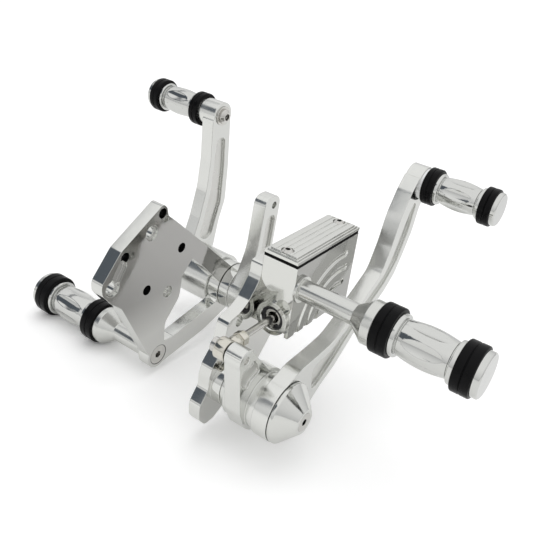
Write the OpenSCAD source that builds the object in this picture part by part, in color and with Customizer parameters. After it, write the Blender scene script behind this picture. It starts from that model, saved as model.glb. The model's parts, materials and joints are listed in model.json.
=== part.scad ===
// Motorcycle forward control set: a shift side and a brake side, each on its own plate.
// Millimetres. X runs across the motorcycle to the rider's right, Y forward, Z up.
// The origin is the middle of the shift plate's square of frame bolts, on its inboard face.

/* [Plates] */
// Thickness of the shift side plate
left_plate_t = 12; // [10:0.5:16]
// Thickness of the brake side plate
right_plate_t = 11; // [9:0.5:14]
// Side of the shift plate's square of frame bolts
frame_bolt_square = 47.2; // [40:0.2:50]
// Pitch circle radius of the brake plate's three frame bolts
right_bolt_r = 27.3; // [25:0.1:29]
// Radius of the clearance holes for the frame bolts
frame_hole_r = 4.25; // [3.2:0.05:5.3]

/* [Pivots] */
// Outside radius of the round pivot stacks
hub_r = 25.4; // [22:0.2:28]
// Radius of the steel pivot shafts
shaft_r = 9; // [7:0.5:10]
// Running clearance of a shaft in its bush
run_gap = 0.05; // [0.02:0.01:0.1]

/* [Levers] */
// Thickness of the brake lever
brake_lever_t = 14; // [11:0.5:15]
// Thickness of the shift lever's blade
shift_lever_t = 13; // [10:0.5:15]
// Depth of the milled pockets in the levers
pocket_d = 2.6; // [1:0.2:5]

/* [Foot pegs] */
// Radius of the foot pegs' rubber rings
foot_ring_r = 19.5; // [17:0.5:21]
// Width of the foot pegs' rubber rings
foot_ring_w = 14.4; // [10:0.2:16]
// Distance from one foot peg ring to the next
foot_pitch = 63; // [56:1:70]
// Radius of the plain foot peg stem
stem_r = 8.5; // [7:0.5:10]
// Number of flutes round a peg
flutes = 6; // [5:1:7]

/* [Toe pegs] */
// Radius of the toe pegs' rubber rings
toe_ring_r = 15.6; // [13:0.2:18]
// Width of the toe pegs' rubber rings
toe_ring_w = 10.4; // [8:0.2:13]
// Distance from one toe peg ring to the next
toe_pitch = 49.8; // [44:0.2:56]

/* [Master cylinder] */
// Width of the master cylinder block
mc_w = 31.5; // [29:0.5:34]
// Length of the master cylinder block
mc_l = 89.6; // [84:0.2:96]
// Height of the master cylinder block
mc_h = 63.2; // [61:0.2:65]
// Radius of the cylinder bore
bore_r = 9; // [7.5:0.25:9.5]
// Thickness of the rubber gasket under the cover
gasket_t = 2.8; // [1:0.2:3.4]

/* [Hidden] */
$fn = 72;
// Working frame: the brake pivot lies on Y = Z = 0, midway between the plates. org is the
// part's origin seen from there.
org = [-37, 2, 78];
left_x = -37;
left_out = left_x - left_plate_t;
right_x = 37;
right_out = right_x + right_plate_t;
shift_c = [111.5, 3];
left_foot_c = [12.5, -28.5];
shift_toe_c = [145.7, 148];
mc_x = right_out + mc_w / 2;
mc_y = 31;
mc_z = 38;
mc_top = mc_z + mc_h;
right_foot_c = [mc_y + 8.8, mc_top - 20.2];
brake_toe_c = [173, 140.5];
eye_c = [-28.5, 51];
right_bolt_c = [36, 50];
link_hole_c = [126.9, 91.8];
link_hole_r = 3.2;
bolt_circle_r = frame_bolt_square / sqrt(2);
bolt_phase = 77.5;
slip = 0.05;
side_gap = 0.3;
bush_t = 2;

boss_t = 8.8;
spacer_end = right_out + boss_t + 5.4;
boss_r = hub_r - 5.2;
arm_x = spacer_end + side_gap;
arm_t = 14.5;
arm_boss_t = 7.5;
blade_x = arm_x + arm_boss_t;
lever_x = blade_x + arm_t + arm_boss_t;
lever_out = lever_x + brake_lever_t;
cone_x = lever_out + side_gap;
cone_l = 17.2;

lever_in = -92.5;
shift_out = lever_in - shift_lever_t;
link_x = -10.5;
link_hub_x = -26.5;

bore_z = 51;
bore_y = mc_y - 2.2;
bore_end = mc_y + mc_l - 16.6;
bowl_l = mc_l - 27.6;
port_r = 5;
port_l = 12;
clip_y = bore_y + 1.4;
clip_t = 1.2;
washer_t = 1;
piston_y = clip_y + clip_t + washer_t;
piston_l = 34;
ball_seat_r = 5.2;
seat_y = piston_y + 12.2;
cup_l = 3;
cover_base_t = 2.5;
cover_top_t = 2;
cover_z = mc_top + gasket_t;
cover_screw_y = [mc_y + 7.7, mc_y + mc_l - 7.6];
mc_screws = [[45, 61], [84, 46], [84, 84]];
mc_head_r = 5;

bolt_shank_r = 3;
peg_bolt_r = 5;
toe_bolt_r = 4;

// Rounds every corner of a flat outline: p are points, r one radius for each
function rounded(p, r, n = 6) = [for (i = [0:len(p) - 1])
    let(a = p[(i + len(p) - 1) % len(p)], b = p[i], c = p[(i + 1) % len(p)],
        u = (a - b) / norm(a - b), v = (c - b) / norm(c - b),
        h = acos(max(-1, min(1, u * v))) / 2,
        d = min(r[i] / tan(h), 0.49 * min(norm(a - b), norm(c - b))),
        q = d * tan(h), m = b + (u + v) / norm(u + v) * q / sin(h),
        s = b + u * d - m, e = b + v * d - m,
        a0 = atan2(s[1], s[0]), t = (atan2(e[1], e[0]) - a0 + 540) % 360 - 180)
    each (r[i] < 0.1 || h > 88 ? [b] : [for (k = [0:n])
        m + q * [cos(a0 + t * k / n), sin(a0 + t * k / n)]])];

module place() {
    translate(-org) children();
}
// A bar along X from x0 to x1, centred on the point c in Y and Z
module bar(r, x0, x1, c = [0, 0], r2 = -1) {
    translate([x0, c[0], c[1]]) rotate([0, 90, 0])
        cylinder(h = x1 - x0, r1 = r, r2 = r2 < 0 ? r : r2);
}
// A bar along Y from y0 to y1 at x, z
module ybar(r, y0, y1, x, z, r2 = -1) {
    translate([x, y0, z]) rotate([-90, 0, 0])
        cylinder(h = y1 - y0, r1 = r, r2 = r2 < 0 ? r : r2);
}
// A slab whose flat outline lies in Y and Z
module slab(x0, x1) {
    translate([x0, 0, 0]) rotate([90, 0, 90]) linear_extrude(x1 - x0) children();
}
module hexbar(af, x0, x1, c) {
    translate([x0, c[0], c[1]]) rotate([0, 90, 0])
        cylinder(h = x1 - x0, r = af / sqrt(3), $fn = 6);
}
module hexybar(af, y0, y1, x, z, spin = 0) {
    translate([x, y0, z]) rotate([-90, spin, 0])
        cylinder(h = y1 - y0, r = af / sqrt(3), $fn = 6);
}
// Turns a part drawn along +Z so that it runs along +X or -X from x, at c
module lay(x, c, s = 1) {
    translate([x, c[0], c[1]]) rotate([0, 90 * s, 0]) children();
}

// Plain round-headed screw along +Z: the head sits on Z = 0, the shank runs below it
module button_screw(r, l, head_r, head_h, socket) {
    difference() {
        union() {
            translate([0, 0, -l]) cylinder(h = l, r = r);
            cylinder(h = head_h * 0.45, r = head_r);
            translate([0, 0, head_h * 0.45])
                cylinder(h = head_h * 0.55, r1 = head_r, r2 = head_r * 0.62);
        }
        translate([0, 0, head_h * 0.3]) cylinder(h = head_h, r = socket / sqrt(3), $fn = 6);
    }
}
// Flat-headed screw along +Z: its face is at Z = 0
module flat_screw(r, l, head_r, socket) {
    head_h = head_r - r;
    difference() {
        union() {
            translate([0, 0, -l]) cylinder(h = l, r = r);
            translate([0, 0, -head_h]) cylinder(h = head_h, r1 = r, r2 = head_r);
        }
        translate([0, 0, -socket * 0.6]) cylinder(h = socket, r = socket / sqrt(3), $fn = 6);
    }
}
// How far a flat-headed screw sits below its face, and how much smaller its head is than its hole
head_sink = 0.2;
// The hole that a flat-headed screw fills
module flat_hole(r, l, head_r) {
    head_h = head_r - r;
    translate([0, 0, -l]) cylinder(h = l + 1, r = r + slip);
    translate([0, 0, -head_h]) cylinder(h = head_h + 1, r1 = r + slip, r2 = head_r + slip + 1);
}

// Turned peg along +Z: a seat for a rubber ring at each end and a fluted barrel between them,
// turned to fl by its first flute
module peg_body(seat_r, lip_r, ring_w, pitch, lip, end_r, mid_r, bore, fl) {
    z0 = ring_w + lip;
    z1 = pitch - lip;
    neck = 1.2;
    half = (z1 - z0) / 2;
    steps = 12;
    wheel_r = half * half / 2.8;
    tool_r = mid_r * 0.75;
    rotate_extrude() polygon([[bore, 0], [seat_r, 0], [seat_r, ring_w], [lip_r, ring_w], [lip_r, z0 - 0.6],
        [lip_r - 0.6, z0], [end_r - 0.8, z0], [end_r - 0.8, z0 + neck], [bore, z0 + neck]]);
    rotate_extrude() polygon([[bore, z1 - neck], [end_r - 0.8, z1 - neck], [end_r - 0.8, z1],
        [lip_r - 0.6, z1], [lip_r, z1 + 0.6], [lip_r, pitch], [seat_r, pitch], [seat_r, pitch + ring_w],
        [bore, pitch + ring_w]]);
    difference() {
        rotate_extrude() polygon(concat([[bore, z0 + neck]], [for (k = [0:steps]) let(t = k / steps)
            [end_r + (mid_r - end_r) * sin(180 * t), z0 + neck + (z1 - z0 - 2 * neck) * t]],
            [[bore, z1 - neck]]));
        for (k = [0:flutes - 1]) rotate([0, 0, fl + k * 360 / flutes])
            translate([end_r - 0.2 + tool_r + wheel_r, 0, z0 + half]) rotate([90, 0, 0])
            rotate([0, 0, 168]) rotate_extrude(angle = 24, $fn = 144) translate([wheel_r, 0])
            circle(r = tool_r, $fn = 48);
    }
}
// Rubber ring along +Z with rounded edges, moulded as two bands with a groove between them
module peg_ring(seat_r, r, w) {
    e = 1.2;
    g = 0.7;
    rotate_extrude() polygon([[seat_r + slip, 0], [r - e, 0], [r - 0.3, 0.5], [r, e], [r, w / 2 - g],
        [r - g, w / 2 - 0.2], [r - g, w / 2 + 0.2], [r, w / 2 + g], [r, w - e], [r - 0.3, w - 0.5],
        [r - e, w], [seat_r + slip, w]]);
}
// Cap along +Z that closes a peg and keeps its outer ring on
module peg_cap(r, t, plug_r, plug_l) {
    e = 0.9;
    rotate_extrude() polygon([[0, -plug_l], [plug_r - 0.5, -plug_l], [plug_r, 0.5 - plug_l], [plug_r, 0],
        [r, 0], [r, t - e], [r - e, t], [0, t]]);
}

// Foot peg sizes
foot_lip_r = foot_ring_r - 2.9;
foot_seat_r = foot_lip_r - 1;
foot_lip = 4;
foot_bore = 6;
foot_cap_t = 5.2;
stem_cone_l = 12;
stem_collar_l = 7.7;
stem_l = 49.5;
left_ring_x = -103.5;
right_stem_x = right_out + mc_w;
right_ring_x = right_stem_x + stem_l + stem_cone_l + stem_collar_l;

module foot_stem(plain_l, collar_l) {
    c = plain_l + stem_cone_l;
    rotate_extrude() polygon([[0, 0], [stem_r, 0], [stem_r, plain_l], [foot_lip_r + 0.9, c],
        [foot_lip_r + 0.9, c + collar_l - 0.6], [foot_lip_r + 0.3, c + collar_l],
        [foot_bore - slip, c + collar_l], [foot_bore - slip, c + collar_l + foot_pitch - 4],
        [0, c + collar_l + foot_pitch - 4]]);
}
module foot_body(fl) {
    peg_body(foot_seat_r, foot_lip_r, foot_ring_w, foot_pitch, foot_lip, 13.9, 16, foot_bore, fl);
}
module foot_cap() {
    peg_cap(foot_lip_r + 0.8, foot_cap_t, foot_bore - slip, foot_ring_w);
}

// Toe peg sizes
toe_lip_r = toe_ring_r - 2.4;
toe_seat_r = toe_lip_r - 0.9;
toe_lip = 3;
toe_bore = 6;
toe_cap_t = 4;
toe_washer_t = 2.4;
toe_collar_l = 6.9;
toe_head_h = 4.2;
toe_head_r = 7;
shift_ring_x = shift_out - toe_collar_l;
brake_ring_x = lever_out + toe_washer_t;

module toe_body(fl) {
    difference() {
        peg_body(toe_seat_r, toe_lip_r, toe_ring_w, toe_pitch, toe_lip, 11.1, 12.8, 0.01, fl);
        translate([0, 0, -1]) cylinder(h = 27, r = toe_bolt_r + slip);
        translate([0, 0, toe_pitch + toe_ring_w - 12]) cylinder(h = 13, r = toe_bore);
    }
}
module toe_cap() {
    peg_cap(toe_lip_r + 0.7, toe_cap_t, toe_bore - slip, 10);
}
module toe_screw(through) {
    button_screw(toe_bolt_r, through + 22, toe_head_r, toe_head_h, 6);
}

// Shift side plate
function ring_pts(c, r, n, phase) = [for (k = [0:n - 1])
    c + r * [cos(phase + 360 * k / n), sin(phase + 360 * k / n)]];
frame_c = [org[1], org[2]];
left_bolts = ring_pts(frame_c, bolt_circle_r, 4, bolt_phase);
right_bolts = ring_pts(right_bolt_c, right_bolt_r, 3, 180);
left_open_holes = [[-2.1, 96.7, 5.2], [-43.1, 62.4, 5.6], [20.2, 33.5, 4]];
slot_end = [-33.4, 78.2];
slot_r = 4.8;
slot_d = 4;
lug_r = 12.6;
lug_bolt_r = 5;
lug_head_r = 9.4;
left_boss_r = 22.5;

module left_outline() {
    polygon(rounded([[9.9, 118.5], [-35, 91.5], [-54.5, 68.5], [-53.4, 60], [-44, 48.5], [-33.7, 40.5],
        [0.5, -24], [24, -35.5], [19, -16], [19, 2], [36, 22], [37.6, 42], [51, 55.5], [50, 77.2],
        [24, 100], [16.2, 106.5], [14.5, 114]], [7, 12, 8, 8, 5, 14, 3, 0, 6, 8, 16, 10, 0, 0, 30, 5, 4]));
    translate(left_foot_c) circle(r = lug_r);
    polygon(rounded([[12, -41], [26, -38], [72.6, -31], [96.7, -23.2], [107.6, -19.1], [102, 20],
        [90.3, -6.5], [52.7, -13.2], [30, -17.5], [14, -16]], [0, 30, 40, 6, 0, 0, 10, 40, 8, 0]));
    translate(shift_c) circle(r = left_boss_r);
    polygon(rounded([[40, 62], [50.4, 53.9], [66, 40], [92, 13], [112, -2], [114, 19], [105.5, 26.7],
        [49.4, 77.7], [40, 86]], [0, 0, 30, 10, 0, 0, 0, 0, 0]));
}
module left_plate() {
    color("gainsboro") place() difference() {
        slab(left_out, left_x) left_outline();
        for (b = left_bolts) bar(frame_hole_r, left_out - 1, left_x + 1, b);
        for (h = left_open_holes) {
            bar(h[2], left_out - 1, left_x + 1, [h[0], h[1]]);
            bar(h[2] + 1.4, left_x - 3.2, left_x + 1, [h[0], h[1]]);
        }
        // Milled slot from the rear open hole up to the bolt hole above it
        bar(slot_r, left_x - slot_d, left_x + 1, slot_end);
        slab(left_x - slot_d, left_x + 1)
            polygon([[-39, 59.9], [-29.3, 75.7], [-37.5, 80.7], [-47.2, 64.9]]);
        bar(3, left_x - slot_d, left_x + 1, [13.6, 104.3]);
        lay(left_x, left_foot_c) flat_hole(lug_bolt_r, left_plate_t, lug_head_r);
        bar(shaft_r + bush_t, left_out - 1, left_x + 1, shift_c);
    }
}
// Shift side: the lever, the linkage arm and what joins them
lever_boss_r = 12.6;
module shift_lever() {
    color("gainsboro") place() difference() {
        union() {
            slab(shift_out, lever_in) {
                polygon(rounded([[132, 146], [133.5, 106], [131, 77], [123, 47], [114, 24], [96, 10],
                    [118, -18], [134, -6], [147.5, 5], [154, 38], [161, 58], [161, 94], [157.6, 146]],
                    [0, 60, 60, 60, 20, 0, 0, 20, 30, 40, 20, 60, 0]));
                translate(shift_toe_c) circle(r = lever_boss_r);
                translate(shift_c) circle(r = hub_r);
            }
            bar(hub_r, lever_in - 1, left_out - side_gap, shift_c);
            bar(lever_boss_r, shift_ring_x, shift_out + 1, shift_toe_c);
        }
        slab(lever_in - pocket_d, lever_in + 1) polygon(rounded([[141, 126], [139.5, 106], [138, 76],
            [131, 47], [124, 27], [142, 19], [147.5, 38], [154, 58], [154.5, 94], [152.5, 126]],
            [5, 60, 60, 60, 8, 8, 40, 20, 60, 5]));
        bar(shaft_r + slip, shift_out + 4, left_x, shift_c);
        bar(toe_bolt_r + slip, shift_ring_x - 1, lever_in + 1, shift_toe_c);
    }
}
module shift_shaft() {
    color("silver") place() difference() {
        bar(shaft_r, shift_out + 4, link_x - 0.5, shift_c);
        bar(4, link_x - 24, link_x, shift_c);
    }
}
module shift_bush() {
    color("darkgoldenrod") place() difference() {
        bar(shaft_r + bush_t - 0.01, left_out, left_x, shift_c);
        bar(shaft_r + run_gap, left_out - 1, left_x + 1, shift_c);
    }
}
module shift_spacer() {
    color("gainsboro") place() difference() {
        bar(left_boss_r - 0.8, left_x + side_gap, link_hub_x, shift_c);
        bar(shaft_r + slip, left_x - 1, link_hub_x + 1, shift_c);
    }
}
link_t = 13;
link_hub_r = 21;
module linkage_arm() {
    color("gainsboro") place() difference() {
        union() {
            slab(link_x - link_t, link_x) {
                polygon(rounded([[113.2, 101], [109, 52], [92, 8], [131, -6], [132.2, 48.5], [136, 101]],
                    [9, 60, 0, 0, 60, 9], 8));
                translate(shift_c) circle(r = link_hub_r);
            }
            bar(link_hub_r, link_hub_x, link_x - 1, shift_c);
        }
        slab(link_x - pocket_d, link_x + 1) polygon(rounded([[118.6, 82], [115.5, 52], [111.2, 34],
            [127, 34], [128.7, 52], [131, 82]], [5, 60, 5, 5, 60, 5]));
        bar(link_hole_r, link_x - link_t - 1, link_x + 1, link_hole_c);
        bar(shaft_r + slip, link_hub_x - 1, link_x + 1, shift_c);
    }
}
link_washer_t = 2;
module linkage_washer() {
    color("silver") place() difference() {
        bar(13, link_x, link_x + link_washer_t, shift_c);
        bar(4 + slip, link_x - 1, link_x + link_washer_t + 1, shift_c);
    }
}
module linkage_screw() {
    color("silver") place() lay(link_x + link_washer_t, shift_c)
        button_screw(4 - slip, 22, 7.4, 4.4, 5);
}
module shift_peg_body() { color("gainsboro") place() lay(shift_ring_x, shift_toe_c, -1) toe_body(10); }
module shift_peg_ring_inner() {
    color("black") place() lay(shift_ring_x, shift_toe_c, -1) peg_ring(toe_seat_r, toe_ring_r, toe_ring_w);
}
module shift_peg_ring_outer() {
    color("black") place() lay(shift_ring_x - toe_pitch, shift_toe_c, -1)
        peg_ring(toe_seat_r, toe_ring_r, toe_ring_w);
}
module shift_peg_cap() {
    color("silver") place() lay(shift_ring_x - toe_pitch - toe_ring_w, shift_toe_c, -1) toe_cap();
}
module shift_peg_washer() {
    color("silver") place() difference() {
        bar(9, lever_in, lever_in + 1.2, shift_toe_c);
        bar(toe_bolt_r + slip, lever_in - 1, lever_in + 3, shift_toe_c);
    }
}
module shift_peg_screw() {
    color("silver") place() lay(lever_in + 1.2, shift_toe_c)
        toe_screw(shift_lever_t + toe_collar_l + 1.2);
}
module left_footpeg_stem() {
    color("gainsboro") place() difference() {
        lay(left_out, left_foot_c, -1) foot_stem(left_out - left_ring_x - 17.5, 5.5);
        bar(lug_bolt_r + slip, left_out - 24, left_out + 1, left_foot_c);
    }
}
module left_footpeg_screw() {
    color("silver") place() lay(left_x - head_sink, left_foot_c)
        flat_screw(lug_bolt_r, 32, lug_head_r - head_sink, 6);
}
module left_footpeg_body() { color("gainsboro") place() lay(left_ring_x, left_foot_c, -1) foot_body(10); }
module left_footpeg_ring_inner() {
    color("black") place() lay(left_ring_x, left_foot_c, -1)
        peg_ring(foot_seat_r, foot_ring_r, foot_ring_w);
}
module left_footpeg_ring_outer() {
    color("black") place() lay(left_ring_x - foot_pitch, left_foot_c, -1)
        peg_ring(foot_seat_r, foot_ring_r, foot_ring_w);
}
module left_footpeg_cap() {
    color("silver") place() lay(left_ring_x - foot_pitch - foot_ring_w, left_foot_c, -1) foot_cap();
}

// Brake side plate
module right_outline() {
    polygon(rounded([[88, 92], [31.3, 92.5], [30.5, 81], [25.5, 73], [17.5, 63.5], [8, 58], [-5, 55.5],
        [-7, 45], [-9.5, 32], [-20, 20], [-22.5, 12], [-22.5, 1], [-31.8, -12], [-30.5, -25], [-23, -34],
        [-12.5, -33], [0, -26], [18, -18], [34, -12], [46, 2], [58, 16], [64, 38], [90, 42], [92, 80]],
        [8, 3, 16, 30, 20, 20, 7.6, 12, 14, 9, 12, 9, 9, 10, 6, 8, 0, 0, 12, 30, 20, 8, 10, 8]));
    circle(r = boss_r + 2);
}
module right_plate() {
    color("gainsboro") place() difference() {
        union() {
            slab(right_x, right_out) right_outline();
            bar(boss_r, right_out - 1, right_out + boss_t, [0, 0]);
        }
        for (b = right_bolts) bar(frame_hole_r, right_x - 1, right_out + 1, b);
        for (s = mc_screws) lay(right_x, s, -1) flat_hole(2.5, right_plate_t, mc_head_r);
        bar(peg_bolt_r + slip, right_out - 8.5, right_out + 1, right_foot_c);
        bar(shaft_r + 0.01, right_x - 1, right_out + boss_t + 1, [0, 0]);
    }
}

// Master cylinder: block with a reservoir above and the bore below
res_wall = 4;
groove_r = 5;
groove_c = [100, 30];
module master_cylinder() {
    color("gainsboro") place() difference() {
        union() {
            difference() {
                translate([right_out, mc_y, mc_z]) cube([mc_w, mc_l, mc_h]);
                translate([mc_x, mc_y + 4.6, 0]) rotate([90, 0, 0]) linear_extrude(6)
                    difference() {
                        union() {
                            translate([-mc_w, mc_z - 1]) square([mc_w * 1.5 - 3.4, 27]);
                            for (s = [-1, 1]) translate([s * 8, mc_z + 26]) circle(r = 6.5);
                        }
                        translate([0, bore_z]) circle(r = 14.4);
                    }
            }
            ybar(14.4, bore_y, mc_y + 6, mc_x, bore_z);
        }
        ybar(bore_r, bore_y - 1, bore_end, mc_x, bore_z);
        ybar(bore_r + 1, bore_y - 1, piston_y, mc_x, bore_z);
        ybar(bore_r + 1.9, clip_y, clip_y + clip_t, mc_x, bore_z);
        ybar(bore_r + 2.4, bore_y - 1, bore_y + 0.8, mc_x, bore_z, bore_r + 1);
        ybar(port_r, mc_y + mc_l - port_l, mc_y + mc_l + 1, mc_x, bore_z);
        ybar(1.5, bore_end - 1, mc_y + mc_l, mc_x, bore_z);
        translate([right_out + 7, mc_y + 17, mc_top - 36]) cube([mc_w - 7 - res_wall, bowl_l, 37]);
        translate([mc_x, mc_y + 40, bore_z + 4]) cylinder(h = 14, r = 1);
        bar(peg_bolt_r + 0.2, right_out - 1, right_out + mc_w + 1, right_foot_c);
        for (y = cover_screw_y) translate([mc_x, y, mc_top - 11]) cylinder(h = 12, r = 2.5 + slip);
        for (s = mc_screws) bar(2.5 + slip, right_out - 1, right_out + 6.2, s);
        // Milled arcs on the outer face, each ending in the round mark of its cutter
        for (g = [[57.6, 85], [44.6, 80], [31, 79]])
            translate([right_stem_x + 3.8, groove_c[0], groove_c[1]])
            rotate([90, 0, 90]) {
                rotate([0, 0, g[1]]) rotate_extrude(angle = 178 - g[1]) translate([g[0], 0])
                    circle(r = groove_r, $fn = 48);
                rotate([0, 0, g[1]]) translate([g[0], 0]) sphere(r = groove_r, $fn = 48);
            }
    }
}
module cover_rect(inset) {
    translate([right_out + inset, mc_y - 0.5 + inset]) square([mc_w - 2 * inset, mc_l + 0.9 - 2 * inset]);
}
module reservoir_gasket() {
    color("black") place() difference() {
        translate([0, 0, mc_top]) linear_extrude(gasket_t) cover_rect(0.4);
        translate([right_out + 7, mc_y + 17, mc_top - 1]) cube([mc_w - 7 - res_wall, bowl_l, gasket_t + 2]);
        for (y = cover_screw_y) translate([mc_x, y, mc_top - 1]) cylinder(h = gasket_t + 2, r = 2.7);
    }
}
cover_step = 3.4;
module reservoir_cover() {
    top = cover_z + cover_base_t + cover_top_t;
    color("gainsboro") place() difference() {
        union() {
            translate([0, 0, cover_z]) linear_extrude(cover_base_t) cover_rect(0);
            translate([0, 0, cover_z]) linear_extrude(cover_base_t + cover_top_t / 2)
                cover_rect(cover_step / 2);
            translate([0, 0, cover_z]) linear_extrude(cover_base_t + cover_top_t) cover_rect(cover_step);
        }
        for (k = [-1.5:1.5]) translate([mc_x + k * 4.9, mc_y + 3.5, top]) rotate([-90, 0, 0])
            cylinder(h = mc_l - 7, r = 0.7, $fn = 24);
        for (y = cover_screw_y) translate([mc_x, y, cover_z - 1]) {
            cylinder(h = 10, r = 2.7);
            translate([0, 0, 1 + cover_base_t]) cylinder(h = 5, r = 5.1);
        }
        translate([mc_x - 1, mc_y + 47, top + 1.2]) sphere(r = 2, $fn = 32);
    }
}
module cover_screws() {
    color("silver") place() for (y = cover_screw_y)
        translate([mc_x, y, cover_z + cover_base_t]) button_screw(2.5, 13, 4.7, 3, 3.6);
}
module brake_piston() {
    color("silver") place() difference() {
        union() {
            ybar(bore_r - run_gap, piston_y, piston_y + 7, mc_x, bore_z);
            ybar(6.5, piston_y + 6, piston_y + piston_l, mc_x, bore_z);
            ybar(bore_r - run_gap, piston_y + piston_l - 6, piston_y + piston_l, mc_x, bore_z);
        }
        ybar(ball_seat_r, piston_y - 1, seat_y - ball_seat_r, mc_x, bore_z);
        translate([mc_x, seat_y - ball_seat_r, bore_z]) sphere(r = ball_seat_r, $fn = 48);
    }
}
module piston_cup() {
    y = piston_y + piston_l;
    color("black") place() difference() {
        ybar(bore_r - run_gap, y, y + cup_l, mc_x, bore_z);
        ybar(6, y + 1.4, y + cup_l + 1, mc_x, bore_z, 8);
    }
}
spring_r = 6;
spring_wire = 0.9;
spring_turns = 7;
// Pressure spring between the cup and the end of the bore, as stacked rings
module piston_spring() {
    y0 = piston_y + piston_l + cup_l;
    pitch = (bore_end - y0 - 2 * spring_wire) / (spring_turns - 1);
    color("silver") place() {
        for (k = [0:spring_turns - 1]) translate([mc_x, y0 + spring_wire + k * pitch, bore_z])
            rotate([90, 0, 0]) rotate_extrude() translate([spring_r, 0]) circle(r = spring_wire, $fn = 16);
        for (a = [0, 120, 240])
            translate([mc_x + spring_r * cos(a), y0 + spring_wire, bore_z + spring_r * sin(a)])
            rotate([-90, 0, 0]) cylinder(h = bore_end - y0 - 2 * spring_wire, r = 0.5, $fn = 16);
    }
}
module bore_washer() {
    color("dimgray") place() difference() {
        ybar(bore_r + 1 - slip, piston_y - washer_t, piston_y, mc_x, bore_z);
        ybar(5, piston_y - washer_t - 1, piston_y + 1, mc_x, bore_z);
    }
}
module circlip() {
    r = bore_r + 1.8;
    color("dimgray") place() translate([mc_x, clip_y, bore_z]) rotate([-90, 0, 0]) difference() {
        union() {
            difference() {
                cylinder(h = clip_t - 0.1, r = r);
                translate([0, 0, -1]) cylinder(h = clip_t + 2, r = r - 3.3);
                rotate([0, 0, 68]) translate([0, 0, -1]) linear_extrude(clip_t + 2)
                    polygon([[0, 0], [20, 0], [14.4, 14]]);
            }
            for (a = [62, 118]) rotate([0, 0, a]) translate([r - 3, 0, 0])
                cylinder(h = clip_t - 0.1, r = 2);
        }
        for (a = [62, 118]) rotate([0, 0, a]) translate([r - 3, 0, -1]) cylinder(h = clip_t + 2, r = 0.8);
    }
}

// Push rod, its nut and the eye on the brake arm
rod_r = 3;
nut_af = 11;
nut_y = [-12.4, -6.4];
module push_rod() {
    color("silver") place() {
        ybar(rod_r, -19, seat_y - 4, mc_x, eye_c[1]);
        ybar(4.3, nut_y[1], nut_y[1] + 5, mc_x, eye_c[1], rod_r);
        translate([mc_x, seat_y - ball_seat_r, eye_c[1]]) sphere(r = ball_seat_r - 0.5, $fn = 48);
    }
}
module lock_nut() {
    color("wheat") place() difference() {
        hexybar(nut_af, nut_y[0], nut_y[1], mc_x, eye_c[1], 30);
        ybar(rod_r + slip, nut_y[0] - 1, nut_y[1] + 1, mc_x, eye_c[1]);
    }
}
rod_end_w = 10;
module rod_end() {
    color("wheat") place() difference() {
        union() {
            bar(8.6, mc_x - rod_end_w / 2, mc_x + rod_end_w / 2, eye_c);
            ybar(4.8, eye_c[0], nut_y[0], mc_x, eye_c[1]);
            hexybar(nut_af - 1, -17.5, nut_y[0], mc_x, eye_c[1], 30);
        }
        bar(bolt_shank_r + run_gap, mc_x - 9, mc_x + 9, eye_c);
        ybar(rod_r + slip, -19.4, nut_y[0] + 1, mc_x, eye_c[1]);
    }
}
rod_bolt_x = mc_x - rod_end_w / 2 - side_gap;
module rod_bolt() {
    color("silver") place() {
        bar(5.8, rod_bolt_x - 4.6, rod_bolt_x, eye_c);
        hexbar(4, rod_bolt_x - 5.6, rod_bolt_x - 4, eye_c);
        bar(bolt_shank_r, rod_bolt_x - 1, blade_x + arm_t - 1.5, eye_c);
    }
}

// Brake side: arm and lever turn together on the pivot shaft
arm_hub_r = hub_r + 1.2;
arm_neck_r = hub_r - 2;
eye_boss_r = 8.9;
module brake_arm() {
    color("gainsboro") place() difference() {
        union() {
            slab(blade_x, blade_x + arm_t) {
                polygon(rounded([[-36.6, 56], [-36.2, 46], [-35.3, 38], [-33, 23], [-29.4, 1], [-25, -9],
                    [0, 0], [22, 5], [12.5, 16.2], [0.8, 29.4], [-13.6, 46.3], [-21, 56]],
                    [0, 30, 40, 60, 12, 0, 0, 0, 30, 60, 30, 0]));
                translate(eye_c) circle(r = eye_boss_r);
                circle(r = arm_hub_r);
            }
            bar(arm_neck_r, arm_x, lever_x, [0, 0]);
            bar(6.6, mc_x + rod_end_w / 2 + side_gap, blade_x + 1, eye_c);
        }
        slab(blade_x + arm_t - pocket_d, blade_x + arm_t + 1) difference() {
            polygon(rounded([[-31, 42.5], [-33.2, 35], [-29.6, 26], [-23.5, 22.4], [-20.5, 28],
                [-9.6, 32.2], [-15.2, 42.5]], [1, 6, 6, 3, 6, 2.4, 2]));
            circle(r = arm_hub_r - 0.8);
        }
        bar(3.2, blade_x - 1, blade_x + arm_t + 1, [-19, 42.6]);
        bar(bolt_shank_r + slip, mc_x, blade_x + arm_t + 1, eye_c);
        bar(shaft_r + bush_t, arm_x - 1, lever_x + 1, [0, 0]);
        for (a = [30, 150, 270]) bar(2.5 + slip, lever_x - 6, lever_x + 1, 18 * [cos(a), sin(a)]);
    }
}
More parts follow.
